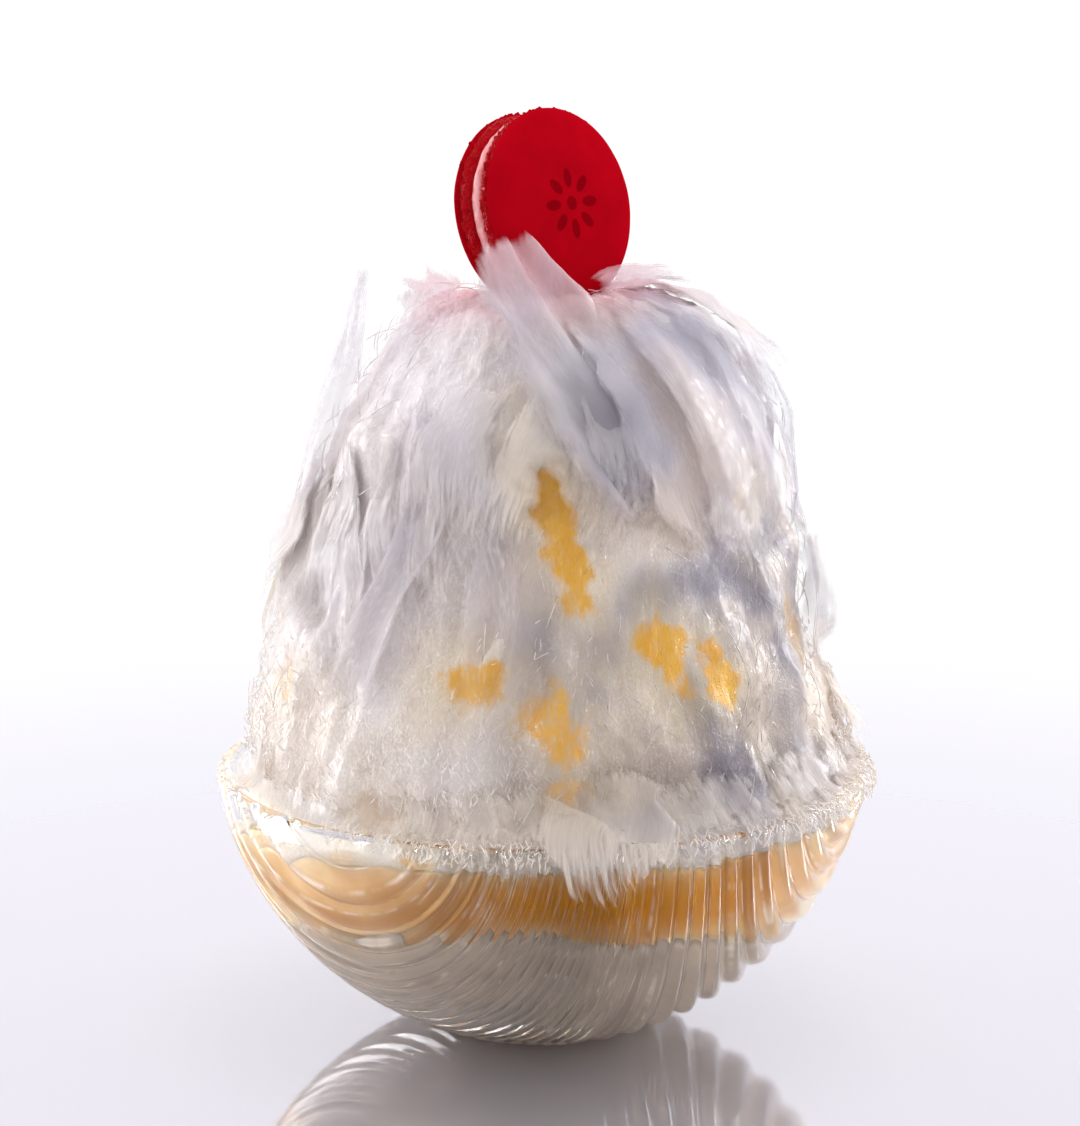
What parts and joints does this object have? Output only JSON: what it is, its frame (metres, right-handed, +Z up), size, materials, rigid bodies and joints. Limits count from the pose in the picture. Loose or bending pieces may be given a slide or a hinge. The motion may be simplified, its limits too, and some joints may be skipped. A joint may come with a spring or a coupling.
{
  "type": "kakigori",
  "caption": "Kakigori: a tall mound of shaved ice flakes over mango sauce and cream in a clear ribbed glass bowl, with a red macaron standing on top.",
  "frame": {"origin": "middle of the bowl's flat base, on the table", "axes": "+Z up through the bowl and the mound, -Y towards the front, +X to the right seen from the front"},
  "size_m": [0.1469, 0.1519, 0.2075],
  "materials": {
    "clear_glass": "polished",
    "cream": "smooth, satin",
    "mango_sauce": "glossy, translucent",
    "shaved_ice": "fibrous, translucent, glistening",
    "macaron_shell": "satin, with a rough foot",
    "macaron_filling": "creamy, matte"
  },
  "bodies": {
    "root": {"bowl": "clear_glass", "cream_layer": "cream", "mango_layer": "mango_sauce", "shaved_ice": "shaved_ice", "macaron_front_shell": "macaron_shell", "macaron_filling": "macaron_filling", "macaron_back_shell": "macaron_shell"}
  },
  "joints": []
}
